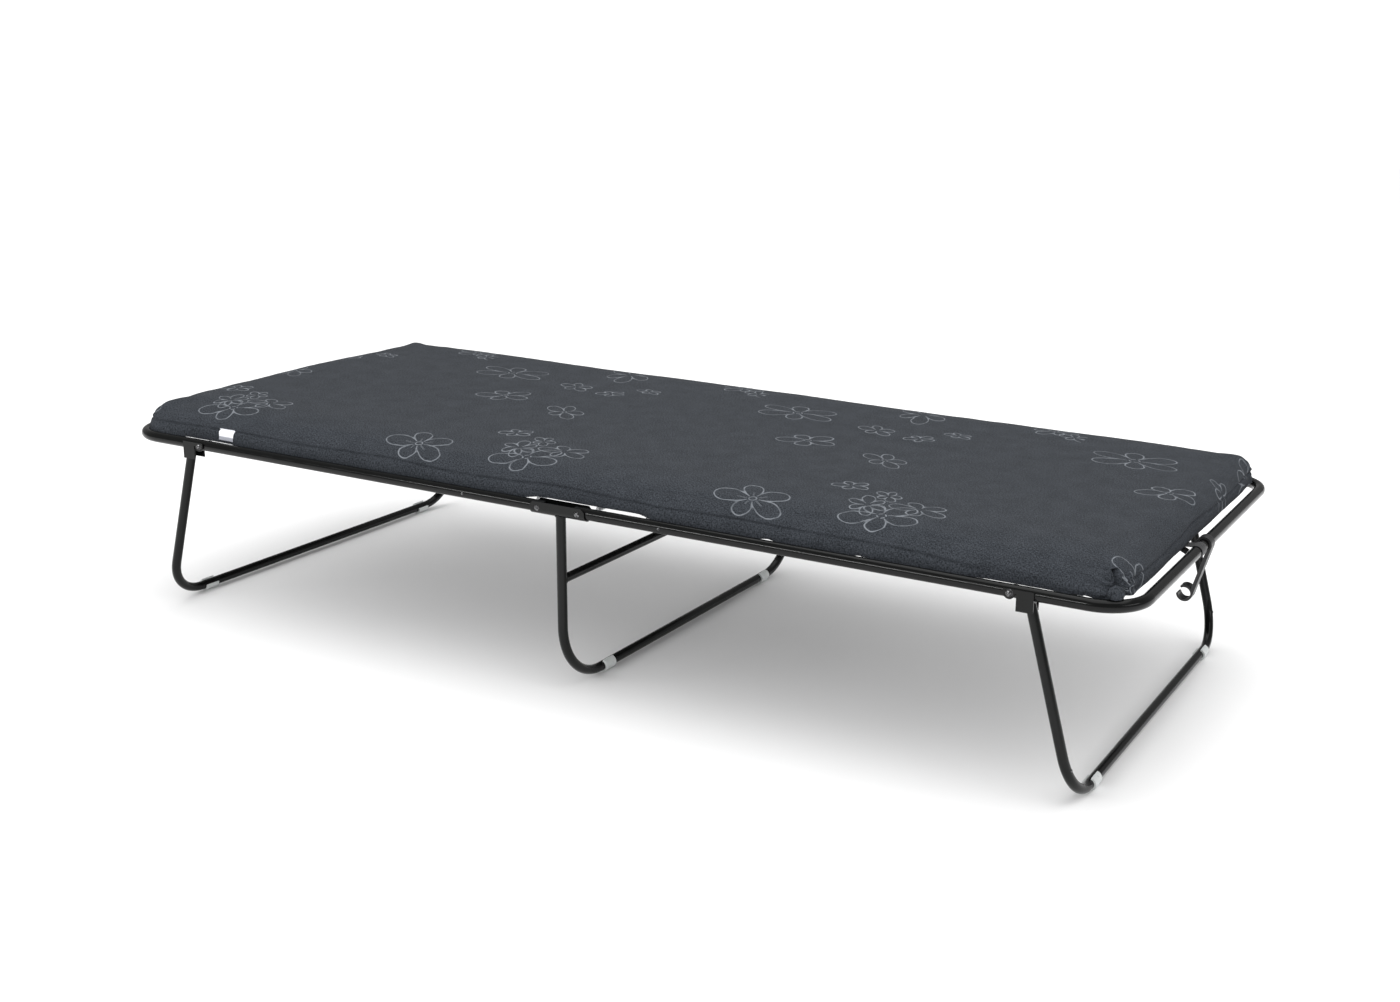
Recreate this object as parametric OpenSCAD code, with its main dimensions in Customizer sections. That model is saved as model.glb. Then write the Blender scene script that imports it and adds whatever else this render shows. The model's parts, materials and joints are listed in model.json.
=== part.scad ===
// Folding cot: two tube frames hinged on a centre leg, with fold-away end legs,
// a sprung cloth base, a foam mattress and a clip that holds the folded cot shut.
// Origin on the floor below the middle of the cot, +X to the foot end, +Z up.

/* [Overall size] */
// Length over the end tubes
cot_len = 1900; // [1500:10:2300]
// Width over the side rails
cot_w = 800; // [600:10:1000]
// Height of the side rails' axis above the floor
rail_z = 312; // [260:1:420]

/* [Tubes] */
// Outside diameter of the frame tube
rail_d = 19; // [15:0.5:25]
// Wall of the frame tube
rail_wall = 1.2; // [0.8:0.1:2.5]
// Radius of the frame corners, on the tube's axis
corner_r = 66; // [40:1:140]
// Outside diameter of the leg tubes
leg_d = 16; // [12:0.5:20]
// Wall of the leg tubes
leg_wall = 1.2; // [0.8:0.1:2.5]
// Bend radius of the end legs, on the tube's axis
end_leg_bend_r = 72; // [40:1:140]
// Bend radius of the middle leg, on the tube's axis
mid_leg_bend_r = 105; // [40:1:150]
// Height of the middle leg's brace above the floor
brace_z = 195; // [160:1:230]

/* [Centre hinge] */
// Distance of each fold axis from the middle of the cot
fold_x = 38; // [32:1:60]
// Length of the rail that lies in the bracket outside the fold axis
rail_lap = 14; // [10:1:30]
// Thickness of the bracket sheet
sheet = 2; // [1.2:0.1:3]
// Play between a rail and the bracket around it
rail_play = 0.3; // [0.2:0.05:0.6]
// Diameter of the rivets and leg bolts
pin_d = 6; // [4:0.5:8]
// Radial play of a pin in the rail
pin_play = 0.05; // [0.01:0.01:0.1]

/* [End legs] */
// Distance of the leg bolts from the end tube's axis
bolt_inset = 177.5; // [150:0.5:300]
// How far outboard of its bolt the leg's axis crosses the rail's axis
leg_offset = 25; // [22:1:40]
// How far a leg spreads outward from the rail to the floor
leg_splay = 84; // [20:1:120]

/* [Feet] */
// Wall of a foot, below the leg tube
foot_wall = 3; // [2:0.5:6]
// Width of a foot along the tube
foot_w = 28; // [15:1:50]
// Distance of a foot from the start of the leg's bend
foot_gap = 3; // [0:0.5:100]

/* [Base cloth and springs] */
// Room for a spring, from the rail's tube to the hem rod's axis
spring_room = 45; // [34:1:80]
// Thickness of the cloth
cloth_t = 1.6; // [1:0.1:3]
// Gap between the cloth's end and the end tube
cloth_end_gap = 26; // [15:1:80]
// Diameter of the hem rods
hem_rod_d = 4; // [3:0.5:6]
// Distance between the springs
spring_pitch = 93; // [60:1:140]
// Gap between a hinge bracket and the first spring
spring_gap = 1; // [1:1:30]
// Outside diameter of a spring
spring_d = 8; // [6:0.5:12]
// Width of the end straps
strap_w = 25; // [15:1:50]
// Where the end straps lie across the cot
strap_y = -66; // [-200:1:200]

/* [Mattress] */
// Gap between the mattress and the frame tube in plan, all round
mattress_inset = 10; // [0:1:60]
// Thickness of the mattress
mattress_t = 51; // [30:1:90]
// Plan radius of the mattress corners
mattress_corner_r = 18; // [10:1:80]
// Width of the label
label_w = 34; // [20:1:60]

/* [Transport clip] */
// Wall of the clip
clip_wall = 3.2; // [2:0.1:5]
// Width of the clip along the tube
clip_w = 20; // [10:1:40]
// Where the clip sits across the cot
clip_y = -25; // [-200:1:200]
// Angle of the hanging clip from straight down, towards the middle
clip_hang = 16; // [0:1:60]

/* [Hidden] */
$fn = 64;

paint = "#2b2c2a";
steel = "#b9bcc0";
pale_plastic = "#d9dbd8";
black_plastic = "#1b1b1c";
black_cloth = "#202124";
mattress_cloth = "#4d525b";
label_cloth = "#f2f2f2";

rail_r = rail_d / 2;
leg_r = leg_d / 2;
pin_r = pin_d / 2;
half_len = cot_len / 2 - rail_r;    // middle of the cot to the end tube's axis
half_w = cot_w / 2 - rail_r;        // middle of the cot to a rail's axis
fold_limit = 89.7;                  // degrees each frame half folds
bolt_x = half_len - bolt_inset;
saddle_in = rail_r + rail_play;     // inside radius of the bracket channels
saddle_out = saddle_in + sheet;
rail_end_x = fold_x - rail_r + 0.5; // where a rail stops, inboard of its fold axis
foot_axis_z = leg_r + foot_wall;    // height of the legs' cross tubes
end_foot_y = half_w - end_leg_bend_r - foot_gap - foot_w / 2;
mid_foot_y = half_w - mid_leg_bend_r - foot_gap - foot_w / 2;
leg_top_x = bolt_x + leg_offset;
leg_len = norm([leg_splay, rail_z - foot_axis_z]);
leg_angle = atan2(rail_z - foot_axis_z, leg_splay);
cloth_z = rail_z + 4;               // middle of the cloth's thickness
cloth_end = half_len - rail_r - cloth_end_gap;
hem_y = half_w - rail_r - spring_room;
hem_r = hem_rod_d / 2;
hem_wall = 1;
strap_t = 1.5;
// underside of the mattress, clear of the straps and the springs
mattress_z = cloth_z + max(cloth_t / 2 + strap_t, spring_d / 2) + 0.5;
mattress_half_len = half_len - rail_r - mattress_inset;
mattress_half_w = half_w - rail_r - mattress_inset;
mattress_cut = 0.5;                 // half of the slit between two mattress pieces
bracket_half = fold_x + rail_lap;
bracket_inboard = 9;                // leg bracket, inboard of its bolt
bracket_outboard = 37;              // and outboard of it
spring_start = bracket_half + spring_gap + spring_d / 2;
spring_count = floor((bolt_x - bracket_inboard - 10 - spring_d / 2 - spring_start) / spring_pitch) + 1;
last_spring_x = half_len - corner_r - 18;
// distance between the two end tubes when the cot is folded
clip_len = 2 * fold_x + 2 * (half_len - fold_x) * cos(fold_limit);

// ---------- shared shapes ----------

// A rod along X, from x0 to x1
module rod_x(r, x0, x1) {
    translate([x0, 0, 0]) rotate([0, 90, 0]) cylinder(r = r, h = x1 - x0);
}

// A rod along Y, centred
module rod_y(r, len) {
    rotate([90, 0, 0]) cylinder(r = r, h = len, center = true);
}

// A round bar bent to a U in the XY plane: two arms along X and a cross piece at x = reach
module bent_bar(r, start, reach, side_y, bend_r) {
    for (side = [0, 1]) mirror([0, side, 0]) {
        translate([0, side_y, 0]) rod_x(r, start, reach - bend_r);
        translate([reach - bend_r, side_y - bend_r, 0])
            rotate_extrude(angle = 90) translate([bend_r, 0]) circle(r = r);
    }
    translate([reach, 0, 0]) rod_y(r, 2 * (side_y - bend_r));
}

// The same bar as a tube with open ends
module bent_tube(r, wall, start, reach, side_y, bend_r) {
    difference() {
        bent_bar(r, start, reach, side_y, bend_r);
        bent_bar(r - wall, start - 1, reach, side_y, bend_r);
    }
}

// Cross-section of a channel that holds a rail: round below, with straight walls above
module channel_profile(rise) {
    difference() {
        union() {
            translate([-saddle_out, 0]) square([2 * saddle_out, rise]);
            intersection() {
                circle(r = saddle_out);
                translate([-saddle_out, -saddle_out]) square([2 * saddle_out, saddle_out]);
            }
        }
        circle(r = saddle_in);
        translate([-saddle_in, 0]) square([2 * saddle_in, rise + 1]);
    }
}

// Places a shape on the near or the far rail's axis
module on_rail(side) {
    translate([0, side * half_w, rail_z]) children();
}

// A domed fastener head that stands on the plane y = 0, towards -Y
module dome_head(r, h) {
    ball_r = (r * r + h * h) / (2 * h);
    intersection() {
        translate([0, ball_r - h, 0]) sphere(r = ball_r);
        translate([0, -h / 2, 0]) rod_y(r, h);
    }
}

// Everything of the head end is the foot end mirrored
module at_head() {
    mirror([1, 0, 0]) children();
}

// ---------- frame halves ----------

// What is cut away so that a rail's end, rounded below and at its sides, can turn in the channel
module rail_end_cut() {
    block = rail_d + 4;
    r = rail_r + rail_play / 3;
    difference() {
        translate([-block, -block / 2, -block / 2]) cube([block, block, block]);
        cylinder(r = r, h = block);
        sphere(r = r);
    }
}

module frame_half() {
    color(paint) difference() {
        translate([0, 0, rail_z])
            bent_tube(rail_r, rail_wall, rail_end_x, half_len, half_w, corner_r);
        // bores for the hinge rivet and the leg bolt
        for (x = [fold_x, bolt_x]) translate([x, 0, rail_z])
            rod_y(pin_r + pin_play, cot_w + 10);
        for (side = [-1, 1]) on_rail(side) translate([fold_x, 0, 0]) rail_end_cut();
    }
}

// Small rivet heads on the outside of each rail
module rail_rivets() {
    rivet_x = 187;
    color(steel) for (side = [0, 1]) mirror([0, side, 0])
        translate([rivet_x, -half_w, rail_z]) difference() {
            translate([0, -rail_r + 0.4, 0]) dome_head(2.6, 1.7);
            rod_x(rail_r, -5, 5);
        }
}

// ---------- centre support ----------

module middle_leg_tube() {
    color(paint) difference() {
        translate([0, 0, rail_z]) rotate([0, 90, 0])
            bent_tube(leg_r, leg_wall, 3, rail_z - foot_axis_z, half_w, mid_leg_bend_r);
        for (side = [-1, 1]) on_rail(side) rod_x(saddle_out, -30, 30);
    }
}

module middle_leg_brace() {
    color(paint) difference() {
        translate([0, 0, brace_z]) difference() {
            rod_y(leg_r - 0.5, 2 * half_w);
            rod_y(leg_r - 0.5 - leg_wall, 2 * half_w + 2);
        }
        for (side = [-1, 1])
            translate([0, side * half_w, brace_z]) cylinder(r = leg_r, h = 40, center = true);
    }
}

module hinge_bracket(side) {
    rise = 10;
    chamfer = 6;
    color(paint) on_rail(side) difference() {
        translate([-bracket_half, 0, 0]) rotate([90, 0, 90])
            linear_extrude(2 * bracket_half) channel_profile(rise);
        for (x = [-fold_x, fold_x]) translate([x, 0, 0]) rod_y(pin_r, 2 * saddle_out + 4);
        for (m = [0, 1]) mirror([m, 0, 0]) translate([bracket_half, 0, rise]) rotate([90, 0, 0])
            linear_extrude(2 * saddle_out + 4, center = true)
            polygon([[-chamfer, 1], [-chamfer, 0], [0, -chamfer], [1, -chamfer], [1, 1]]);
    }
}

module hinge_rivets() {
    head_r = 5;
    head_h = 2.4;
    color(steel) for (side = [-1, 1]) for (x = [-fold_x, fold_x])
        translate([x, 0, 0]) on_rail(side) {
            rod_y(pin_r, 2 * saddle_out);
            for (m = [0, 1]) mirror([0, m, 0]) translate([0, -saddle_out, 0]) dome_head(head_r, head_h);
        }
}

// ---------- end legs ----------

module leg_tube() {
    color(paint) difference() {
        translate([leg_top_x, 0, rail_z]) rotate([0, leg_angle, 0])
            bent_tube(leg_r, leg_wall, 5, leg_len, half_w, end_leg_bend_r);
        for (side = [-1, 1]) on_rail(side) rod_x(saddle_out, leg_top_x - 40, leg_top_x + 40);
    }
}

// Saddle under the rail: it turns on the bolt, and its web rests on the rail when the leg is open
module leg_bracket(side) {
    inboard = bracket_inboard;
    outboard = bracket_outboard;
    web_start = 14;
    neck = 11;     // where the plates reach down beside the leg
    rise = 6;
    drop = 25;
    width = 2 * saddle_out + 4;
    color(paint) on_rail(side) translate([bolt_x, 0, 0]) difference() {
        translate([-inboard, -saddle_out, -drop]) cube([inboard + outboard, 2 * saddle_out, drop + rise]);
        rod_x(saddle_in, -inboard - 1, outboard + 1);
        translate([-inboard - 1, -saddle_in, 0]) cube([inboard + outboard + 2, 2 * saddle_in, rise + 1]);
        // the room between the side walls, apart from the web
        difference() {
            translate([-inboard - 1, -saddle_in, -drop - 1])
                cube([inboard + outboard + 2, 2 * saddle_in, drop + 1]);
            rod_x(saddle_out, web_start, outboard + 2);
        }
        rod_y(pin_r, width);
        // a round ear about the bolt
        rotate([90, 0, 0]) linear_extrude(width, center = true) difference() {
            translate([-inboard - 1, -drop - 1]) square([inboard + 1 + neck, drop + 1]);
            circle(r = inboard);
        }
    }
}

module leg_bolts() {
    head_r = 6;
    head_h = 3.2;
    nut_r = 5.8;
    nut_h = 4;
    color(steel) for (side = [0, 1]) mirror([0, side, 0])
        translate([bolt_x, -half_w, rail_z]) {
            rod_y(pin_r, 2 * saddle_out);
            translate([0, -saddle_out, 0]) dome_head(head_r, head_h);
            translate([0, saddle_out, 0]) rotate([-90, 0, 0]) cylinder(r = nut_r, h = nut_h, $fn = 6);
        }
}

// Small rivet heads low on the outside of the posts, where the bend has begun
module leg_rivets() {
    turn = 19;    // degrees into the bend
    seat = 0.15;  // off the curved tube
    down = leg_len - end_leg_bend_r * (1 - sin(turn));
    across = half_w - end_leg_bend_r * (1 - cos(turn));
    color(steel) translate([leg_top_x, 0, rail_z]) rotate([0, leg_angle, 0]) difference() {
        for (side = [-1, 1]) translate([down, side * across, leg_r - 0.4])
            rotate([-90, 0, 0]) dome_head(2.6, 1.7);
        bent_bar(leg_r + seat, 5, leg_len, half_w, end_leg_bend_r);
    }
}

// A plastic foot pressed round the cross tube, open on its inboard upper side
module foot_cap(x, y) {
    color(pale_plastic) translate([x, y, foot_axis_z]) rotate([90, 0, 0])
        linear_extrude(foot_w, center = true) difference() {
            circle(r = leg_r + foot_wall);
            circle(r = leg_r);
            polygon([[0, 0], [-30, 4], [-30, 30], [8, 30]]);
        }
}

module end_foot(side) {
    foot_cap(leg_top_x + leg_splay, side * end_foot_y);
}

// ---------- base cloth, springs and straps ----------

module base_cloth() {
    slit = 1;
    color(black_cloth) difference() {
        union() {
            translate([slit, -hem_y, cloth_z - cloth_t / 2])
                cube([cloth_end - slit, 2 * hem_y, cloth_t]);
            for (side = [-1, 1])
                translate([0, side * hem_y, cloth_z]) rod_x(hem_r + hem_wall, 12, cloth_end - 8);
        }
        for (side = [-1, 1])
            translate([0, side * hem_y, cloth_z]) rod_x(hem_r, 0, cloth_end + 1);
    }
}

module hem_rods() {
    color(steel) for (side = [-1, 1])
        translate([0, side * hem_y, cloth_z]) rod_x(hem_r, 8, cloth_end - 4);
}

// One spring: a coil of close turns with a wire hook at each end
module spring_body() {
    wire_r = 0.9;
    inner_y = hem_y + hem_r + hem_wall;
    outer_y = half_w - sqrt(pow(rail_r, 2) - pow(cloth_z - rail_z - wire_r, 2));
    hook = 9;
    turns = 6;
    turn = (outer_y - inner_y - 2 * hook) / turns;
    r = spring_d / 2;
    color(steel) {
        translate([0, inner_y + hook, cloth_z]) rotate([-90, 0, 0]) rotate_extrude()
            polygon(concat([[0, 0]],
                [for (i = [0 : turns - 1]) each [[r - 0.8, turn * i], [r, turn * (i + 0.5)]]],
                [[r - 0.8, turn * turns], [0, turn * turns]]));
        translate([0, inner_y, cloth_z]) rotate([-90, 0, 0]) cylinder(r = wire_r, h = hook + 1);
        translate([0, outer_y - hook - 1, cloth_z]) rotate([-90, 0, 0]) cylinder(r = wire_r, h = hook + 1);
    }
}

module springs() {
    places = [for (i = [0 : spring_count - 1]) spring_start + i * spring_pitch, last_spring_x];
    for (x = places) for (side = [0, 1])
        mirror([0, side, 0]) translate([x, 0, 0]) spring_body();
}

// Webbing looped round the end tube and sewn to the cloth
module end_strap() {
    lap = 16;
    color(black_cloth) translate([half_len, strap_y, rail_z]) rotate([90, 0, 0])
        linear_extrude(strap_w, center = true) difference() {
            union() {
                circle(r = rail_r + strap_t);
                translate([cloth_end - lap - half_len, cloth_z + cloth_t / 2 - rail_z])
                    square([half_len - cloth_end + lap, strap_t]);
            }
            circle(r = rail_r);
        }
}

// ---------- mattress ----------

module mattress_outline() {
    x = mattress_half_len - mattress_corner_r;
    y = mattress_half_w - mattress_corner_r;
    square([2 * x, 2 * mattress_half_w], center = true);
    square([2 * mattress_half_len, 2 * y], center = true);
    for (sx = [-1, 1]) for (sy = [-1, 1]) translate([sx * x, sy * y]) circle(r = mattress_corner_r);
}

// The part of the mattress between two places along the cot
module mattress_piece(x0, x1) {
    color(mattress_cloth) translate([0, 0, mattress_z]) linear_extrude(mattress_t) intersection() {
        mattress_outline();
        translate([x0, -cot_w]) square([x1 - x0, 2 * cot_w]);
    }
}

module mattress_half() {
    mattress_piece(fold_x + mattress_cut, cot_len);
}

module mattress_middle() {
    mattress_piece(-fold_x + mattress_cut, fold_x - mattress_cut);
}

module mattress_label() {
    label_t = 0.8;
    label_h = 20;
    label_x = 199 - mattress_half_len;
    color(label_cloth) translate([label_x, -mattress_half_w - label_t / 2, mattress_z + 4 + label_h / 2])
        cube([label_w, label_t, label_h], center = true);
}

// ---------- transport clip ----------

// A ring that turns on the foot end tube, an arm, and an open hook for the head end tube
module transport_clip() {
    outer = saddle_in + clip_wall;
    arm_w = 6;
    color(black_plastic) translate([half_len, clip_y, rail_z]) rotate([90, 0, 0])
        rotate([0, 0, -90 - clip_hang]) linear_extrude(clip_w, center = true) difference() {
            union() {
                circle(r = outer);
                translate([clip_len, 0]) circle(r = outer);
                translate([0, outer - arm_w]) square([clip_len, arm_w]);
            }
            circle(r = saddle_in);
            translate([clip_len, 0]) circle(r = saddle_in);
            // the hook's mouth
            translate([clip_len, 0]) rotate([0, 0, -98])
                polygon([[0, 0], [30, -19], [30, 19]]);
        }
}

middle_leg_tube();
middle_leg_brace();
hinge_bracket(-1);  // hinge_bracket_near
hinge_bracket(1);  // hinge_bracket_far
hinge_rivets();
foot_cap(0, -mid_foot_y);  // middle_foot_near
foot_cap(0, mid_foot_y);  // middle_foot_far
mattress_middle();
at_head() frame_half();  // head_frame_tube
at_head() base_cloth();  // head_base_cloth
at_head() hem_rods();  // head_hem_rods
at_head() springs();  // head_springs
at_head() end_strap();  // head_end_strap
at_head() rail_rivets();  // head_rail_rivets
at_head() mattress_half();  // mattress_head
mattress_label();
frame_half();  // foot_frame_tube
base_cloth();  // foot_base_cloth
hem_rods();  // foot_hem_rods
springs();  // foot_springs
end_strap();  // foot_end_strap
rail_rivets();  // foot_rail_rivets
mattress_half();  // mattress_foot
at_head() leg_tube();  // head_leg_tube
at_head() leg_bracket(-1);  // head_leg_bracket_near
at_head() leg_bracket(1);  // head_leg_bracket_far
at_head() leg_bolts();  // head_leg_bolts
at_head() leg_rivets();  // head_leg_rivets
at_head() end_foot(-1);  // head_leg_foot_near
at_head() end_foot(1);  // head_leg_foot_far
leg_tube();  // foot_leg_tube
leg_bracket(-1);  // foot_leg_bracket_near
leg_bracket(1);  // foot_leg_bracket_far
leg_bolts();  // foot_leg_bolts
leg_rivets();  // foot_leg_rivets
end_foot(-1);  // foot_leg_foot_near
end_foot(1);  // foot_leg_foot_far
transport_clip();
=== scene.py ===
"""Looks of the folding cot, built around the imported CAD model.

The CAD tubes, brackets, feet and clip stay and get materials. The soft parts, springs,
straps and label are modelled here, and each replaces its plain CAD solid.
Lengths are in metres; +X is the foot end, +Y the far side, +Z up.
"""
import json
import math

import bmesh
import bpy
import numpy as np
from mathutils import Matrix, Vector
from mathutils.bvhtree import BVHTree


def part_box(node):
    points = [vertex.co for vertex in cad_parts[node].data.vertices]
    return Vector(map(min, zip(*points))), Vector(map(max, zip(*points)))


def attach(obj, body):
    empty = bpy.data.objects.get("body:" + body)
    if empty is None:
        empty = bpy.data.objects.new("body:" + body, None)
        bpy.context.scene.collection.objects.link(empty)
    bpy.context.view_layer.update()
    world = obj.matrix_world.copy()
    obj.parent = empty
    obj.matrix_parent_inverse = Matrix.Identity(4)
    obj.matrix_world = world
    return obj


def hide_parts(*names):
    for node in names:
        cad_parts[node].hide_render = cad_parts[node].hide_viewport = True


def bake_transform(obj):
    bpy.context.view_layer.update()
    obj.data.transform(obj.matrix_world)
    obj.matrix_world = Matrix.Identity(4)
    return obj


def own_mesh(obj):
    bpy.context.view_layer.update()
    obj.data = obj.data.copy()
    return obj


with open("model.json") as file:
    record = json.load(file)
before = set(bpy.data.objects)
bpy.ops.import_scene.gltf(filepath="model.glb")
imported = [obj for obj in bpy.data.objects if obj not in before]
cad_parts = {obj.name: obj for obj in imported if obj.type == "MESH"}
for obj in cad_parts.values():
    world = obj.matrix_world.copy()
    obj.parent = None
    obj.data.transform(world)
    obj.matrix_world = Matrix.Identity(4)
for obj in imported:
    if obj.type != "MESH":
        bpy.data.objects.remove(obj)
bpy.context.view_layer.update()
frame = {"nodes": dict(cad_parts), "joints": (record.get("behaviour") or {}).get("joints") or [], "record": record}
MM = 0.001

# ---------- sizes, all read from the frame ----------

joints = {j["name"]: j for j in frame["joints"]}
tube_lo, tube_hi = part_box("foot_frame_tube")
rail_r = (tube_hi.z - tube_lo.z) / 2
rail_z = (tube_hi.z + tube_lo.z) / 2
half_len = tube_hi.x - rail_r
half_w = tube_hi.y - rail_r
fold_x = joints["foot_fold"]["pos_m"][0]
pad_lo, pad_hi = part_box("mattress_foot")
pad_bottom, pad_top = pad_lo.z, pad_hi.z
pad_half_len, pad_half_w = pad_hi.x, pad_hi.y
cloth_lo, cloth_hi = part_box("foot_base_cloth")
cloth_z = (cloth_lo.z + cloth_hi.z) / 2
cloth_end = cloth_hi.x
bracket_swing_x = joints["foot_leg_fold"]["pos_m"][0]
rod_lo, rod_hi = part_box("foot_hem_rods")
rod_r = (rod_hi.z - rod_lo.z) / 2
hem_y = rod_hi.y - rod_r


def smooth(a, b, x):
    """0 below a, 1 above b, and a smooth step between."""
    t = np.clip((np.asarray(x, float) - a) / (b - a), 0, 1)
    return t * t * (3 - 2 * t)


def hump(x, centre, width):
    """A smooth bump of height 1."""
    return np.exp(-(((np.asarray(x, float) - centre) / width) ** 2))


def waves(u, v, length, seed, stretch=1.0, count=7):
    """Soft random waves of about that length, drawn out along u by stretch; from about -1 to 1."""
    rng = np.random.default_rng(seed)
    total = np.zeros(np.shape(u))
    for _ in range(count):
        angle, phase = rng.uniform(0, 2 * math.pi, 2)
        k = 2 * math.pi / (length * rng.uniform(0.65, 1.6))
        total += np.sin(k * (u / stretch * math.cos(angle) + v * math.sin(angle)) + phase)
    return total / math.sqrt(count)


# ---------- materials ----------

class Tree:
    """Short names for building a node tree."""

    def __init__(self, tree):
        self.tree = tree

    def add(self, kind, inputs=None, **settings):
        node = self.tree.nodes.new("ShaderNode" + kind)
        for key, value in settings.items():
            setattr(node, key, value)
        for key, value in (inputs or {}).items():
            socket = node.inputs[key]
            if isinstance(value, bpy.types.NodeSocket):
                self.tree.links.new(value, socket)
            else:
                socket.default_value = value
        return node

    def math(self, operation, *values):
        node = self.add("Math", dict(enumerate(values)), operation=operation)
        return node.outputs[0]

    def vector(self, operation, *values, out=0):
        node = self.add("VectorMath", dict(enumerate(values)), operation=operation)
        return node.outputs[out]

    def noise(self, vector, scale, detail=3.0, roughness=0.55):
        return self.add("TexNoise", {"Vector": vector, "Scale": scale, "Detail": detail,
                                     "Roughness": roughness}).outputs["Fac"]

    def between(self, value, low, high, to_low=0.0, to_high=1.0):
        """A smooth ramp from to_low at low to to_high at high."""
        return self.add("MapRange", {"Value": value, "From Min": low, "From Max": high,
                                     "To Min": to_low, "To Max": to_high},
                        interpolation_type="SMOOTHSTEP").outputs[0]

    def mix(self, factor, a, b):
        node = self.add("Mix", {"Factor": factor}, data_type="RGBA")
        for socket, value in ((node.inputs[6], a), (node.inputs[7], b)):
            if isinstance(value, bpy.types.NodeSocket):
                self.tree.links.new(value, socket)
            else:
                socket.default_value = (*value, 1)
        return node.outputs[2]

    def bump(self, height, strength, distance, normal=None):
        inputs = {"Height": height, "Strength": strength, "Distance": distance}
        if normal is not None:
            inputs["Normal"] = normal
        return self.add("Bump", inputs).outputs[0]


def material(name, **constants):
    """A new material with one Principled shader; constants go straight onto its sockets."""
    made = bpy.data.materials.new(name)
    made.use_nodes = True
    tree = Tree(made.node_tree)
    shader = made.node_tree.nodes["Principled BSDF"]
    for key, value in constants.items():
        shader.inputs[key.replace("_", " ")].default_value = value

    def connect(**sockets):
        for key, value in sockets.items():
            made.node_tree.links.new(value, shader.inputs[key.replace("_", " ")])

    place = tree.add("TexCoord").outputs["Object"]
    return made, tree, place, connect


def paint_material():
    made, t, place, connect = material("gloss_black_paint", Specular_IOR_Level=0.24)
    cloudy = t.noise(place, 9, 4)
    peel = t.noise(place, 620, 2)
    dust = t.between(t.noise(place, 260, 5, 0.7), 0.6, 0.78)
    base = t.mix(cloudy, (0.0016, 0.0018, 0.0018), (0.0036, 0.0039, 0.0037))
    connect(Base_Color=t.mix(t.math("MULTIPLY", dust, 0.3), base, (0.03, 0.031, 0.030)),
            Roughness=t.between(t.noise(place, 34, 5), 0.3, 0.75, 0.13, 0.24),
            Normal=t.bump(peel, 0.06, 0.3 * MM))
    return made


def steel_material():
    made, t, place, connect = material("zinc_plated_steel", Metallic=1.0)
    grain = t.noise(place, 900, 3)
    patches = t.noise(place, 130, 4)
    connect(Base_Color=t.mix(patches, (0.36, 0.37, 0.38), (0.62, 0.63, 0.65)),
            Roughness=t.between(grain, 0.25, 0.8, 0.22, 0.42),
            Normal=t.bump(grain, 0.12, 0.1 * MM))
    return made


def dark_rivet_material():
    """Painted over with the frame, and rubbed bright in random patches."""
    made, t, place, connect = material("painted_rivet", Metallic=1.0)
    rubbed = t.between(t.noise(place, 420, 4), 0.42, 0.62)
    connect(Base_Color=t.mix(rubbed, (0.05, 0.05, 0.052), (0.22, 0.22, 0.225)),
            Roughness=t.between(t.noise(place, 700, 3), 0.3, 0.7, 0.2, 0.36),
            Normal=t.bump(rubbed, 0.1, 0.1 * MM))
    return made


def pale_plastic_material():
    made, t, place, connect = material("pale_moulded_plastic", Subsurface_Weight=0.25,
                                       Subsurface_Radius=(0.006, 0.006, 0.006),
                                       Subsurface_Scale=0.4, Coat_Weight=0.1)
    scuffs = t.between(t.noise(place, 180, 5, 0.65), 0.55, 0.75)
    base = t.mix(t.noise(place, 60, 3), (0.50, 0.52, 0.52), (0.62, 0.64, 0.63))
    connect(Base_Color=t.mix(t.math("MULTIPLY", scuffs, 0.5), base, (0.34, 0.35, 0.35)),
            Roughness=t.between(t.noise(place, 240, 4), 0.3, 0.7, 0.34, 0.52),
            Normal=t.bump(t.noise(place, 1100, 2), 0.12, 0.15 * MM))
    return made


def black_plastic_material():
    made, t, place, connect = material("satin_black_plastic", Specular_IOR_Level=0.45)
    spark = t.noise(place, 1500, 2)
    connect(Base_Color=t.mix(t.noise(place, 80, 4), (0.010, 0.010, 0.011), (0.020, 0.020, 0.021)),
            Roughness=t.between(t.noise(place, 150, 4), 0.3, 0.7, 0.3, 0.44),
            Normal=t.bump(spark, 0.15, 0.12 * MM))
    return made


def woven(t, uv, pitch, warp_share=0.5):
    """Height of a plain weave from cloth coordinates, 0 to 1, with threads pitch apart."""
    parts = t.add("SeparateXYZ", {"Vector": uv})
    across = t.math("MULTIPLY", parts.outputs[0], math.pi / pitch)
    along = t.math("MULTIPLY", parts.outputs[1], math.pi / pitch)
    over = t.math("MULTIPLY", t.math("SINE", across), t.math("COSINE", along))
    return t.add("MapRange", {"Value": over, "From Min": -1.0, "From Max": 1.0,
                              "To Min": 0.5 - warp_share, "To Max": 0.5 + warp_share}).outputs[0]


def webbing_material(name, pitch, dark, light, shine):
    made, t, _, connect = material(name, Sheen_Weight=0.12, Sheen_Roughness=0.5)
    uv = t.add("UVMap", uv_map="cloth").outputs[0]
    weave = woven(t, uv, pitch)
    fuzz = t.noise(uv, 1400, 3)
    # partly painted shade: the weave's low places are coloured darker, and random fuzz varies the tone on top
    connect(Base_Color=t.mix(t.math("MULTIPLY", weave, fuzz), dark, light),
            Roughness=t.between(fuzz, 0.2, 0.8, shine, shine + 0.25),
            Normal=t.bump(weave, 0.6, 0.35 * MM))
    return made


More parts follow.
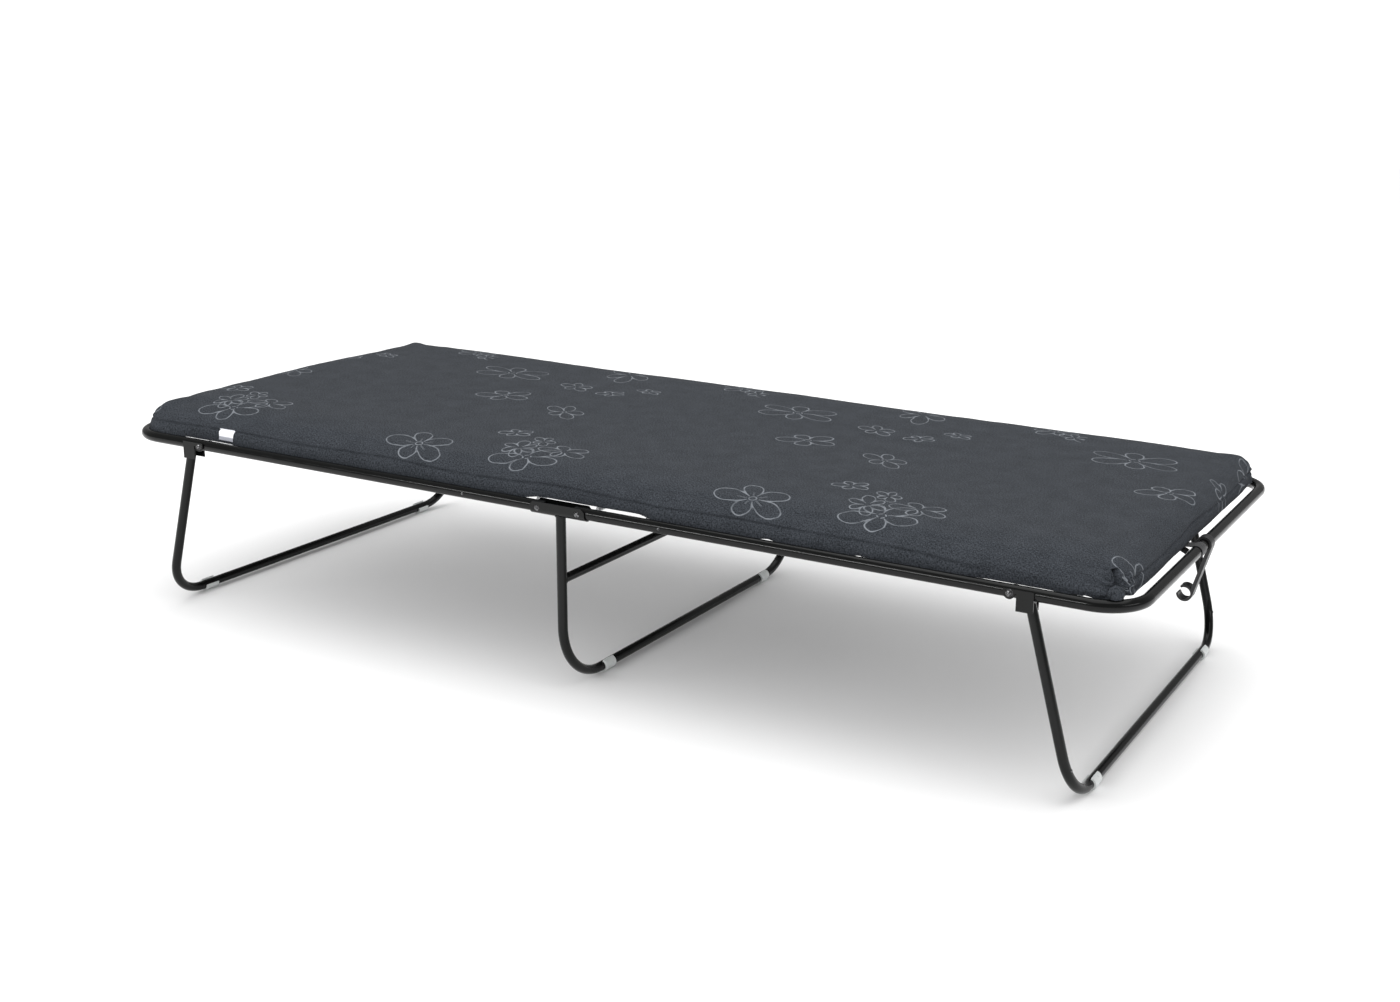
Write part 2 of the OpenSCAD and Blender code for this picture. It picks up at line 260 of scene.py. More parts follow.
def label_material():
    made, t, _, connect = material("white_satin_tape", Sheen_Weight=0.2, Sheen_Roughness=0.35)
    uv = t.add("UVMap", uv_map="cloth").outputs[0]
    parts = t.add("SeparateXYZ", {"Vector": uv})
    weave = woven(t, uv, 0.45 * MM)
    # painted shade: the lowest strip of the tape, below about 6 mm, is coloured dark as if shaded where it curls
    # under
    painted_fold_shade = t.between(parts.outputs[1], 0.0062, 0.0068, 1, 0)
    # painted shade: the weave's low places are coloured darker than its high ones
    base = t.mix(weave, (0.74, 0.75, 0.80), (0.86, 0.87, 0.90))
    connect(Base_Color=t.mix(painted_fold_shade, base, (0.33, 0.34, 0.38)),
            Roughness=t.between(t.noise(uv, 900, 3), 0.3, 0.7, 0.34, 0.5),
            Normal=t.bump(weave, 0.35, 0.12 * MM))
    return made


# Printed flowers of one repeat of the cover: place across and along the cloth, petal length
# (centimetres), number of petals, turn in degrees, drawn-out shape, and the mark at the centre.
FLOWER_REPEAT = 0.64
FLOWERS = (
    (12, 18, 8.4, 6, 20, 1.35, "dots"),
    (32, 30, 7.6, 6, 75, 1.3, "plain"),
    (23, 1, 5.4, 5, 10, 1.15, "dots"),
    (40, -4, 5.2, 5, 50, 1.3, "dots"),
    (30, 14, 3.9, 5, 40, 1.2, "plain"),
    (39, 12.5, 2.9, 5, 5, 1.2, "plain"),
    (44, 18, 2.8, 5, 30, 1.3, "plain"),
    (42.5, -21.5, 3.0, 5, 15, 1.05, "plain"),
    (50, -24, 3.0, 5, 60, 1.2, "plain"),
    (32, -34.5, 6.6, 5, 35, 1.1, "ring"),
    (53, -33, 6.2, 5, 12, 1.05, "dots"),
    (49, -29.5, 4.2, 6, 70, 1.1, "plain"),
    (57, -28, 5.0, 5, 25, 1.3, "plain"),
    (57.5, 31, 4.4, 6, 0, 1.2, "dots"),
    (62, 28, 3.2, 5, 45, 1.2, "plain"),
)


def flower_group(mark):
    """Node group that draws one outlined flower: the ink is 1 on its lines."""
    group = bpy.data.node_groups.new("flower_" + mark, "ShaderNodeTree")
    for name, kind in (("Cloth", "Vector"), ("Centre", "Vector"), ("Petal", "Float"),
                       ("Petals", "Float"), ("Turn", "Float"), ("Stretch", "Float")):
        group.interface.new_socket(name=name, in_out="INPUT", socket_type="NodeSocket" + kind)
    group.interface.new_socket(name="Ink", in_out="OUTPUT", socket_type="NodeSocketFloat")
    t = Tree(group)
    given = group.nodes.new("NodeGroupInput").outputs
    line = 0.75 * MM       # half of the line's width
    local = t.vector("SUBTRACT", given["Cloth"], given["Centre"])
    turned = t.add("VectorRotate", {"Vector": local, "Angle": given["Turn"]},
                   rotation_type="Z_AXIS").outputs[0]
    parts = t.add("SeparateXYZ", {"Vector": turned})
    x, y = parts.outputs[0], t.math("MULTIPLY", parts.outputs[1], given["Stretch"])
    radius = t.math("SQRT", t.math("ADD", t.math("MULTIPLY", x, x), t.math("MULTIPLY", y, y)))
    angle = t.math("ARCTAN2", y, x)
    # petals of uneven length
    uneven = t.math("MULTIPLY_ADD", t.math("SINE", t.math("MULTIPLY_ADD", angle, 2.0, given["Turn"])),
                    0.17, 0.9)
    reach = t.math("MULTIPLY", given["Petal"], uneven)
    half_turns = t.math("MULTIPLY", t.math("MULTIPLY", angle, given["Petals"]), 0.5)
    lobe = t.math("MAXIMUM", t.math("ABSOLUTE", t.math("COSINE", half_turns)), 0.02)
    valley = t.math("ABSOLUTE", t.math("SINE", half_turns))
    fat = 0.42             # how quickly a petal opens from the centre
    edge = t.math("MULTIPLY", reach, t.math("POWER", lobe, fat))
    slope = t.math("MULTIPLY", t.math("MULTIPLY", edge, given["Petals"]),
                   t.math("DIVIDE", t.math("MULTIPLY", valley, fat * 0.5), lobe))
    steep = t.math("DIVIDE", slope, t.math("MAXIMUM", radius, 1 * MM))
    length = t.math("SQRT", t.math("MULTIPLY_ADD", steep, steep, 1.0))
    away = t.math("DIVIDE", t.math("ABSOLUTE", t.math("SUBTRACT", radius, edge)), length)
    centre = t.math("MULTIPLY", given["Petal"], 0.16)
    open_centre = t.math("GREATER_THAN", radius, centre)
    ink = t.math("MULTIPLY", t.between(away, line, line + 0.8 * MM, 1, 0), open_centre)
    if mark == "ring":
        ring = t.math("ABSOLUTE", t.math("SUBTRACT", radius, t.math("MULTIPLY", centre, 0.62)))
        ink = t.math("MAXIMUM", ink, t.between(ring, line, line + 0.8 * MM, 1, 0))
        vein = t.math("MULTIPLY", valley, radius)
        near = t.math("LESS_THAN", radius, t.math("MULTIPLY", reach, 0.42))
        strokes = t.math("MULTIPLY", t.math("MULTIPLY", t.between(vein, 2.4 * MM, 3.4 * MM, 1, 0), near),
                         t.math("MULTIPLY", open_centre, t.between(vein, 1.2 * MM, 2.0 * MM)))
        ink = t.math("MAXIMUM", ink, strokes)
    if mark == "dots":
        dot_turn = t.math("SINE", t.math("MULTIPLY", angle, 2.0))
        ring = t.math("ABSOLUTE", t.math("SUBTRACT", radius, t.math("MULTIPLY", centre, 0.7)))
        dots = t.math("MULTIPLY", t.between(ring, 0.9 * MM, 1.7 * MM, 1, 0),
                      t.math("GREATER_THAN", t.math("ABSOLUTE", dot_turn), 0.55))
        ink = t.math("MAXIMUM", ink, dots)
    out = group.nodes.new("NodeGroupOutput")
    group.links.new(ink, out.inputs["Ink"])
    return group


def cover_material():
    made, t, _, connect = material("flowered_mattress_cotton", Sheen_Weight=0.02,
                                       Sheen_Roughness=0.45, Specular_IOR_Level=0.05)
    uv = t.add("UVMap", uv_map="cloth").outputs[0]
    parts = t.add("SeparateXYZ", {"Vector": uv})
    # the pattern repeats along the cloth
    repeat = t.math("WRAP", parts.outputs[0], FLOWER_REPEAT, 0.0)
    shaky = t.math("MULTIPLY", t.math("SUBTRACT", t.noise(uv, 38, 2), 0.5), 7 * MM)
    cell = t.add("CombineXYZ", {"X": t.math("ADD", repeat, shaky),
                                "Y": t.math("SUBTRACT", parts.outputs[1], shaky)}).outputs[0]
    groups = {mark: flower_group(mark) for mark in ("plain", "ring", "dots")}
    ink = None
    for across, along, petal, petals, turn, stretch, mark in FLOWERS:
        node = t.add("Group", node_tree=groups[mark])
        t.tree.links.new(cell, node.inputs["Cloth"])
        node.inputs["Centre"].default_value = (across / 100, along / 100, 0)
        node.inputs["Petal"].default_value = petal / 100
        node.inputs["Petals"].default_value = petals
        node.inputs["Turn"].default_value = math.radians(turn)
        node.inputs["Stretch"].default_value = stretch
        ink = node.outputs[0] if ink is None else t.math("MAXIMUM", ink, node.outputs[0])
    worn = t.between(t.noise(uv, 55, 4, 0.6), 0.3, 0.62, 0.35, 1)
    ink = t.math("MULTIPLY", ink, worn)

    # heathered yarn: fine flecks drawn out along the threads, and slow mottling
    warp = t.vector("MULTIPLY", uv, (300.0, 900.0, 1.0))
    weft = t.vector("MULTIPLY", uv, (900.0, 300.0, 1.0))
    flecks = t.math("MULTIPLY_ADD", t.noise(warp, 1.0, 3, 0.6), 0.5,
                    t.math("MULTIPLY", t.noise(weft, 1.0, 3, 0.6), 0.5))
    cloudy = t.noise(uv, 26, 4, 0.6)
    tone = t.math("MULTIPLY_ADD", cloudy, 0.1, t.math("MULTIPLY", flecks, 1.1))
    base = t.mix(t.between(tone, 0.42, 0.80), (0.0070, 0.0082, 0.0098), (0.060, 0.0665, 0.0775))
    printed = t.mix(t.math("MULTIPLY", ink, 0.8), base, (0.19, 0.205, 0.225))
    weave = woven(t, uv, 0.8 * MM)
    thread = t.bump(t.math("MULTIPLY_ADD", weave, 0.5, flecks), 0.35, 0.35 * MM)
    creases = t.noise(uv, 60, 4, 0.6)
    connect(Base_Color=printed, Roughness=t.between(flecks, 0.25, 0.75, 0.78, 0.95),
            Normal=t.bump(creases, 0.25, 1.2 * MM, thread))
    return made


def floor_material():
    made, t, place, connect = material("pale_floor", Specular_IOR_Level=0.1)
    connect(Base_Color=t.mix(t.noise(place, 3, 2), (0.86, 0.86, 0.86), (0.88, 0.88, 0.88)),
            Roughness=t.between(t.noise(place, 20, 3), 0, 1, 0.85, 0.95))
    return made


PAINT = paint_material()
STEEL = steel_material()
RIVET = dark_rivet_material()
PALE = pale_plastic_material()
BLACK_PLASTIC = black_plastic_material()
BASE_CLOTH = webbing_material("black_woven_base_cloth", 1.1 * MM, (0.004, 0.004, 0.005),
                              (0.028, 0.029, 0.032), 0.5)
WEBBING = webbing_material("black_webbing", 0.9 * MM, (0.005, 0.005, 0.006),
                           (0.035, 0.036, 0.04), 0.42)
LABEL = label_material()
COVER = cover_material()

FINISHES = {"frame_paint": PAINT, "bright_steel": STEEL, "pale_plastic": PALE,
            "black_plastic": BLACK_PLASTIC, "base_cloth": BASE_CLOTH, "mattress_cloth": COVER,
            "label_cloth": LABEL}
slots = {part["node"]: part["material_slot"] for part in frame["record"]["subparts"]}
for name, node in frame["nodes"].items():
    finish = FINISHES[slots[name]]
    if name.endswith(("rivets", "bolts")):
        finish = RIVET
    node.data.materials.clear()
    node.data.materials.append(finish)


# ---------- mesh helpers ----------

def mesh_object(name, points, faces, finish, uvs=None, flat_angle=None):
    """An object in the scene from points and faces; uvs holds one pair for each face corner."""
    mesh = bpy.data.meshes.new(name)
    mesh.from_pydata([tuple(p) for p in points], [], faces)
    if uvs is not None:
        layer = mesh.uv_layers.new(name="cloth")
        layer.data.foreach_set("uv", np.asarray(uvs, np.float32).ravel())
    mesh.materials.append(finish)
    mesh.validate()
    made = bpy.data.objects.new(name, mesh)
    bpy.context.scene.collection.objects.link(made)
    mesh.shade_smooth()
    if flat_angle is not None:
        mesh.set_sharp_from_angle(angle=math.radians(flat_angle))
    return made


def sweep(path, radius, sides=8, closed=False):
    """Points and faces of a round bar along a path; its ends are closed."""
    path = [Vector(p) for p in path]
    count = len(path)
    points, faces = [], []
    normal = None
    for i, p in enumerate(path):
        before = path[i - 1] if closed or i > 0 else p
        after = path[(i + 1) % count] if closed or i < count - 1 else p
        tangent = (after - before).normalized()
        if normal is None:
            normal = tangent.orthogonal().normalized()
        normal = (normal - tangent * normal.dot(tangent)).normalized()
        other = tangent.cross(normal)
        r = radius[i] if hasattr(radius, "__len__") else radius
        for k in range(sides):
            a = 2 * math.pi * k / sides
            points.append(p + (normal * math.cos(a) + other * math.sin(a)) * r)
    for i in range(count if closed else count - 1):
        a, b = i * sides, (i + 1) % count * sides
        for k in range(sides):
            n = (k + 1) % sides
            faces.append((a + k, a + n, b + n, b + k))
    if not closed:
        faces.append(tuple(reversed(range(sides))))
        faces.append(tuple(range((count - 1) * sides, count * sides)))
    return points, faces


def joined(parts):
    """Several (points, faces) as one."""
    points, faces = [], []
    for more_points, more_faces in parts:
        start = len(points)
        points += more_points
        faces += [tuple(i + start for i in face) for face in more_faces]
    return points, faces


def ribbon(name, path, side, width, thickness, finish, columns=6, lift=None):
    """A closed strip of cloth along a path; side is the direction of its width, and its UVs are in metres."""
    path = [Vector(p) for p in path]
    side = Vector(side).normalized()
    rows = len(path)
    points, length = [], [0.0]
    for i in range(1, rows):
        length.append(length[-1] + (path[i] - path[i - 1]).length)
    normals = []
    for i in range(rows):
        tangent = (path[min(i + 1, rows - 1)] - path[max(i - 1, 0)]).normalized()
        normals.append(side.cross(tangent).normalized())
    for layer in (0.5, -0.5):
        for i, p in enumerate(path):
            for c in range(columns + 1):
                s = c / columns - 0.5
                edge = 1 - 0.45 * abs(2 * s) ** 8        # thinner at the selvedge
                points.append(p + side * (s * width) + normals[i] * (layer * thickness * edge))
    across = columns + 1
    sheet = rows * across
    faces, uvs = [], []

    def uv(index):
        row, column = divmod(index % sheet, across)
        return (column / columns * width, length[row])

    def quad(*corners):
        faces.append(corners)
        uvs.extend(uv(c) for c in corners)

    for i in range(rows - 1):
        for c in range(columns):
            a, b = i * across + c, (i + 1) * across + c
            quad(a, a + 1, b + 1, b)
            quad(sheet + a, sheet + b, sheet + b + 1, sheet + a + 1)
        for c, flip in ((0, False), (columns, True)):
            a, b = i * across + c, (i + 1) * across + c
            quad(*((a, b, sheet + b, sheet + a) if not flip else (a, sheet + a, sheet + b, b)))
    for i, flip in ((0, True), (rows - 1, False)):
        for c in range(columns):
            a = i * across + c
            quad(*((a, a + 1, sheet + a + 1, sheet + a) if flip
                   else (a, sheet + a, sheet + a + 1, a + 1)))
    made = mesh_object(name, points, faces, finish, uvs, 50)
    bm = bmesh.new()
    bm.from_mesh(made.data)
    bmesh.ops.recalc_face_normals(bm, faces=bm.faces)
    bm.to_mesh(made.data)
    bm.free()
    return made


# ---------- mattress ----------

SWELL = 4 * MM             # how far the simulation may move the cover
TOP_ROUND = 19 * MM        # roundness of the upper and the lower edge
BOTTOM_ROUND = 5 * MM
CORNER_ROUND = 30 * MM     # plan radius of the corners
SEAM_UP = 19 * MM          # the side seam above the lower edge
EDGE_BELLY = 15 * MM       # how far the lower edge bulges towards the rails
END_BELLY = 10 * MM        # and towards the end tubes
EDGE_DROOP = 9 * MM        # how far the lower edge hangs over the springs
TOP_FALL = 7 * MM          # how far the top falls away towards its edges
RAIL_GAP = 1.2 * MM        # least gap to the rails and end tubes
BRACKET_DENT = 4.5 * MM    # added to that gap where the leg brackets swing


def graded(low, high, fine, coarse, margin):
    """Grid lines that are fine near both ends and coarse between."""
    edge = np.linspace(0, margin, max(2, round(margin / fine)) + 1)
    inner = np.linspace(low + margin, high - margin, max(2, round((high - low - 2 * margin) / coarse)) + 1)
    return np.concatenate([low + edge[:-1], inner, high - edge[::-1][1:]])


def box_grid(xs, ys, zs):
    """Points and faces of a box with those grid lines, and unrolled cloth coordinates per face corner."""
    index, points = {}, []

    def at(i, j, k):
        if (i, j, k) not in index:
            index[i, j, k] = len(points)
            points.append((xs[i], ys[j], zs[k]))
        return index[i, j, k]

    nx, ny, nz = len(xs) - 1, len(ys) - 1, len(zs) - 1
    faces, uvs = [], []

    def face(corners, unroll):
        faces.append(tuple(at(*c) for c in corners))
        uvs.extend(unroll(xs[i], ys[j], zs[k]) for i, j, k in corners)

    top = zs[-1]
    for i in range(nx):
        for j in range(ny):
            face([(i, j, nz), (i + 1, j, nz), (i + 1, j + 1, nz), (i, j + 1, nz)],
                 lambda x, y, z: (x, y))
            face([(i, j, 0), (i, j + 1, 0), (i + 1, j + 1, 0), (i + 1, j, 0)],
                 lambda x, y, z: (x + 0.31, -y))
    for k in range(nz):
        for i in range(nx):
            face([(i, 0, k), (i + 1, 0, k), (i + 1, 0, k + 1), (i, 0, k + 1)],
                 lambda x, y, z: (x, ys[0] - (top - z)))
            face([(i, ny, k), (i, ny, k + 1), (i + 1, ny, k + 1), (i + 1, ny, k)],
                 lambda x, y, z: (x, ys[-1] + (top - z)))
        for j in range(ny):
            face([(0, j, k), (0, j, k + 1), (0, j + 1, k + 1), (0, j + 1, k)],
                 lambda x, y, z: (xs[0] - (top - z), y))
            face([(nx, j, k), (nx, j + 1, k), (nx, j + 1, k + 1), (nx, j, k + 1)],
                 lambda x, y, z: (xs[-1] + (top - z), y))
    return np.array(points), faces, uvs


def rounded(points, half_x, half_y, low, high, plan_r, low_r, high_r):
    """The box's points moved onto a box with rounded corners and edges."""
    p = points.copy()
    sign = np.where(p[:, :2] < 0, -1.0, 1.0)
    core = np.array([half_x - plan_r, half_y - plan_r])
    over = np.maximum(np.abs(p[:, :2]) - core, 0)
    longest, norm = over.max(1), np.hypot(over[:, 0], over[:, 1])
    over *= np.where(norm > 0, longest / np.maximum(norm, 1e-12), 0)[:, None]
    inside = np.minimum(np.abs(p[:, :2]), core)
    p[:, :2] = sign * (inside + over)
    norm = np.hypot(over[:, 0], over[:, 1])
    outward = np.where(norm[:, None] > 0, over / np.maximum(norm, 1e-12)[:, None], 0)
    for r, level, up in ((high_r, high, 1), (low_r, low, -1)):
        u = np.maximum(r - (plan_r - norm), 0)
        w = np.maximum((p[:, 2] - level) * up + r, 0)
        both = (u > 0) & (w > 0)
        n = np.hypot(u, w)
        scale = np.where(both, np.maximum(u, w) / np.maximum(n, 1e-12), 1)
        p[:, :2] -= sign * outward * (u * (1 - scale))[:, None]
        p[:, 2] -= up * w * (1 - scale)
    return p


def inflate(points, faces, held, pressure, growth, frames=20):
    """Blender's cloth blown up from the inside; held points stay. Returns the moved points."""
    mesh = bpy.data.meshes.new("cloth_run")
    mesh.from_pydata([tuple(p) for p in points], [], faces)
    run = bpy.data.objects.new("cloth_run", mesh)
    bpy.context.scene.collection.objects.link(run)
    group = run.vertex_groups.new(name="held")
    for weight in np.unique(held):
        if weight > 0:
            group.add([int(i) for i in np.flatnonzero(held == weight)], float(weight), "REPLACE")
    cloth = run.modifiers.new("cloth", "CLOTH")
    settings = cloth.settings
    settings.vertex_group_mass = "held"
    settings.quality = 4
    settings.mass = 0.3
    settings.tension_stiffness = settings.compression_stiffness = 12
    settings.shear_stiffness = 4
    settings.bending_stiffness = 0.6
    settings.use_pressure = True
    settings.uniform_pressure_force = pressure
    settings.shrink_min = -growth
    settings.effector_weights.gravity = 0
    cloth.collision_settings.use_collision = False
    cloth.point_cache.frame_start, cloth.point_cache.frame_end = 1, frames
    for step in range(1, frames + 1):
        bpy.context.scene.frame_set(step)
    moved = run.evaluated_get(bpy.context.evaluated_depsgraph_get()).to_mesh()
    result = np.array([v.co for v in moved.vertices])
    run.to_mesh_clear()
    bpy.data.objects.remove(run)
    bpy.data.meshes.remove(mesh)
    bpy.context.scene.frame_set(1)
    return result


def mattress_shape():
    """Points, faces and cloth coordinates of the whole mattress, in one piece."""
    start = SWELL * 0.75
    hx, hy = pad_half_len - start, pad_half_w - start
    low, high = pad_bottom + start * 0.3, pad_top - start
    xs = graded(-hx, hx, 4 * MM, 8.5 * MM, 60 * MM)
    for cut in (-fold_x, 0, fold_x):
        xs[np.abs(xs - cut).argmin()] = cut
    ys = graded(-hy, hy, 3.5 * MM, 11 * MM, 56 * MM)
    zs = np.linspace(low, high, 21)
    grid, faces, uvs = box_grid(xs, ys, zs)
    base = rounded(grid, hx, hy, low, high, CORNER_ROUND, BOTTOM_ROUND, TOP_ROUND)
    free_rim = 25 * MM                                      # the lower edge that isn't held down
    on_bottom = grid[:, 2] == low
    on_bottom &= (np.abs(grid[:, 0]) < hx - free_rim) & (np.abs(grid[:, 1]) < hy - free_rim)
    moved = inflate(base, faces, on_bottom.astype(float), 4.0, 0.012)
    step = moved - base
    size = np.linalg.norm(step, axis=1, keepdims=True)
    p = base + step * np.where(size > 0, SWELL * np.tanh(size / SWELL) / np.maximum(size, 1e-9), 1)

    x, y, z = grid.T
    t = np.clip((z - low) / (high - low), 0, 1)             # 0 at the lower edge, 1 at the top
    # how far a point is out in the border, and which way out is
    over_x = np.maximum(np.abs(x) - (hx - CORNER_ROUND), 0)
    over_y = np.maximum(np.abs(y) - (hy - CORNER_ROUND), 0)
    norm = np.maximum(np.hypot(over_x, over_y), 1e-9)
    out = np.stack([np.sign(x) * over_x / norm, np.sign(y) * over_y / norm, np.zeros_like(x)], 1)
    border = smooth(0, CORNER_ROUND, np.maximum(over_x, over_y))
    side = np.where((t < 1) & (t > 0) | (np.maximum(over_x, over_y) > 0.9 * CORNER_ROUND), border, 0)
    near = (y < 0) & (over_y >= over_x)
    around = np.where(over_y >= over_x, x, y)               # distance along the side

    # the lower edge bulges to the rail, except where the cloth is pulled up by the hinge
    lifted = 0.42 * smooth(-0.09, -0.05, x) * (1 - smooth(0.13, 0.17, x))
    small_lift = 0.22 * hump(x, 0.365, 0.012) + 0.18 * hump(x, 0.52, 0.012) + 0.2 * hump(x, 0.865, 0.012)
    slack = np.where(near, 1 - np.clip(lifted + small_lift, 0, 1), 1)
    long_side = over_y >= over_x
    belly = np.where(long_side, EDGE_BELLY, END_BELLY) * slack
    p += out * (side * belly * (1 - t) ** 1.4 + side * 1.6 * MM * np.sin(math.pi * t))[:, None]
    droop = np.where(long_side, EDGE_DROOP * slack, 0.6 * EDGE_DROOP)
    p[:, 2] -= droop * smooth(0.55, 1, side) * (1 - smooth(0.0, 0.3, t))
    p[:, 2] += np.where(near, lifted * 1.0 * MM, 0) * side * (1 - t)

    # the top falls away over the last hand's width
    inset_x, inset_y = hx - np.abs(x), hy - np.abs(y)
    fall = np.maximum((1 - smooth(0, 85 * MM, inset_y)) ** 1.5,
                      0.6 * (1 - smooth(0, 60 * MM, inset_x)) ** 1.5)
    p[:, 2] -= TOP_FALL * fall * t

    # the seam of the cover, which runs into the lower edge towards the near foot corner
    seam = SEAM_UP + 1.5 * MM * waves(around, 0 * around, 0.25, 3)
    seam = np.where(near, seam * (1 - 0.8 * smooth(0.5, 0.86, x)), seam)
    above = (t * (high - low) - seam)
    fold_over = 2.3 * MM * np.exp(-np.maximum(above, 0) / (9 * MM)) * (above > 0)
    groove = 3.2 * MM * hump(above, -0.4 * MM, 1.9 * MM)
    p += out * (side * (fold_over - groove))[:, None]

    # wrinkles: long slow ones on the top, tighter ones along the edges and at the corners
    top = smooth(0.5, 1, t)
    p[:, 2] += top * (0.9 * MM * waves(x, y, 0.33, 11, 1.6)
                      + 0.5 * MM * waves(x, y, 0.12, 12, 2.2) * (0.4 + border))
    crumple = waves(around, z * 1.2, 0.055, 21, 1.5) * 0.8 + waves(around, z, 0.024, 22, 1.4) * 0.35
    edge_zone = border * (0.5 + 0.5 * t)
    p += out * (edge_zone * MM * (0.9 * crumple + 1.3 * waves(around, z * 0.4, 0.16, 23)))[:, None]
    p[:, 2] += border * top * MM * (0.9 * waves(around, y * 0, 0.14, 24) + 0.4 * crumple)

    # gathered near corner at the foot end: a pinch with folds that run out of it
    for corner_x, corner_y, depth in ((hx - 12 * MM, -hy + 4 * MM, 1.0), (-hx + 10 * MM, -hy + 8 * MM, 0.35),
                                      (hx - 10 * MM, hy - 8 * MM, 0.35), (-hx + 10 * MM, hy - 8 * MM, 0.35)):
        du = (p[:, 0] - corner_x) * math.copysign(1, corner_x)
        dv = (p[:, 1] - corner_y) * math.copysign(1, corner_y)
        along = (du - dv) / math.sqrt(2)                    # round the corner
        up = p[:, 2] - (pad_bottom + 14 * MM)
        dist = np.sqrt(along ** 2 + up ** 2 + (0.6 * np.minimum(du + dv, 0)) ** 2) + 1e-6
        angle = np.arctan2(up, along)
        fading = np.exp(-dist / (34 * MM)) * smooth(0, 14 * MM, dist)
        folds = np.cos(11 * angle + 1.3 * np.sin(3 * angle)) * fading
        pinch = hump(along, 0, 3.2 * MM) * smooth(-8 * MM, 2 * MM, up) * (1 - smooth(22 * MM, 36 * MM, up))
        pull = np.exp(-(dist / (30 * MM)) ** 2)
        direction = np.array([math.copysign(1, corner_x), math.copysign(1, corner_y), 0]) / math.sqrt(2)
        p += direction * (side * depth * MM * (4.6 * folds - 11.0 * pinch - 3.5 * pull))[:, None]
    # nothing may sink into the cloth or springs that it rests on
    rest = np.where(side > 0.5, pad_bottom - EDGE_DROOP, pad_bottom)
    p[:, 2] = np.maximum(p[:, 2], rest)
    # and the hanging edge stops short of the rails
    room_x, room_y = half_len - rail_r - RAIL_GAP, half_w - rail_r - RAIL_GAP
    p[:, 0] = np.clip(p[:, 0], -room_x, room_x)
    # with a dent where the leg brackets swing up
    dent = np.maximum(0, np.abs(np.abs(p[:, 0]) - bracket_swing_x) - 48 * MM)
    room_y = room_y - BRACKET_DENT * (1 - smooth(0, 25 * MM, dent))
    p[:, 1] = np.clip(p[:, 1], -room_y, room_y)
    return p, faces, uvs


def cut_piece(whole, name, x0, x1):
    """The closed part of the mattress between two places along the cot."""
    bm = bmesh.new()
    bm.from_mesh(whole)
    uv_layer = bm.loops.layers.uv["cloth"]
    for x, normal in ((x0, -1), (x1, 1)):
        if x is None:
            continue
        cut = bmesh.ops.bisect_plane(bm, geom=bm.verts[:] + bm.edges[:] + bm.faces[:],
                                     plane_co=(x, 0, 0), plane_no=(normal, 0, 0), clear_outer=True,
                                     dist=1e-5)
        rim = [e for e in cut["geom_cut"] if isinstance(e, bmesh.types.BMEdge)]
        for face in bmesh.ops.holes_fill(bm, edges=rim, sides=0)["faces"]:
            for loop in face.loops:
                loop[uv_layer].uv = (loop.vert.co.y * 0.5, loop.vert.co.z)
            for edge in face.edges:
                edge.smooth = False
            face.smooth = False
    bmesh.ops.recalc_face_normals(bm, faces=bm.faces)
    mesh = bpy.data.meshes.new(name)
    bm.to_mesh(mesh)
    bm.free()
    mesh.materials.append(COVER)
    made = bpy.data.objects.new(name, mesh)
    bpy.context.scene.collection.objects.link(made)
    return made


pad_points, pad_faces, pad_uvs = mattress_shape()
whole_pad = mesh_object("whole_mattress", pad_points, pad_faces, COVER, pad_uvs)
pad_surface = BVHTree.FromPolygons([Vector(p) for p in pad_points], pad_faces)
KEEP_HALF, KEEP_MIDDLE = 0.5, 0.12
for name, body, joint, node, x0, x1, keep in (
        ("cot_mattress_head", "head_frame", "head_fold", "mattress_head", None, -fold_x, KEEP_HALF),
        ("cot_mattress_middle_head", "centre_support", "head_fold", "mattress_middle",
         -fold_x, 0, KEEP_MIDDLE),
        ("cot_mattress_middle_foot", "centre_support", "foot_fold", "mattress_middle",
         0, fold_x, KEEP_MIDDLE),
        ("cot_mattress_foot", "foot_frame", "foot_fold", "mattress_foot", fold_x, None, KEEP_HALF)):
    piece = cut_piece(whole_pad.data, name, x0, x1)
    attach(piece, body)
    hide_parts(node)
    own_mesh(piece)
bpy.data.objects.remove(whole_pad)


# ---------- knot at the gathered corner ----------

def corner_knot():
    """The cover's end, rolled up and tucked in between the corner and the rail."""
    centre = Vector((pad_half_len - 13 * MM, -pad_half_w - 3 * MM, pad_bottom + 7 * MM))
    roll = Vector((0.5, -0.7, -0.35)).normalized()
    points, faces, uvs = [], [], []
    rings, sides = 26, 36
    side_a = roll.orthogonal().normalized()
    side_b = roll.cross(side_a)
    for i in range(rings + 1):
        s = i / rings
        bulge = math.sin(math.pi * min(max(s, 0.0), 1.0)) ** 0.42
        for k in range(sides):
            a = 2 * math.pi * k / sides
            ridge = 1 + 0.10 * math.sin(3 * a + 9 * s) + 0.05 * math.sin(7 * a - 5 * s)
            r = 11.5 * MM * bulge * ridge + 0.2 * MM
            spoke = (side_a * math.cos(a) + side_b * math.sin(a)) * r
            points.append(centre + roll * ((s - 0.5) * 22 * MM) + spoke)
    for i in range(rings):
        for k in range(sides):
            n = (k + 1) % sides
            faces.append((i * sides + k, i * sides + n, (i + 1) * sides + n, (i + 1) * sides + k))
            uvs += [(a * 1.5 * MM, b * 0.9 * MM + 0.05)
                    for a, b in ((k, i), (k + 1, i), (k + 1, i + 1), (k, i + 1))]
    faces.append(tuple(reversed(range(sides))))
    uvs += [(0, 0.05)] * sides
    faces.append(tuple(range(rings * sides, (rings + 1) * sides)))
    uvs += [(0, 0.05)] * sides
    return mesh_object("cot_mattress_corner_knot", points, faces, COVER, uvs)


knot = corner_knot()
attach(knot, "foot_frame")


# ---------- label ----------

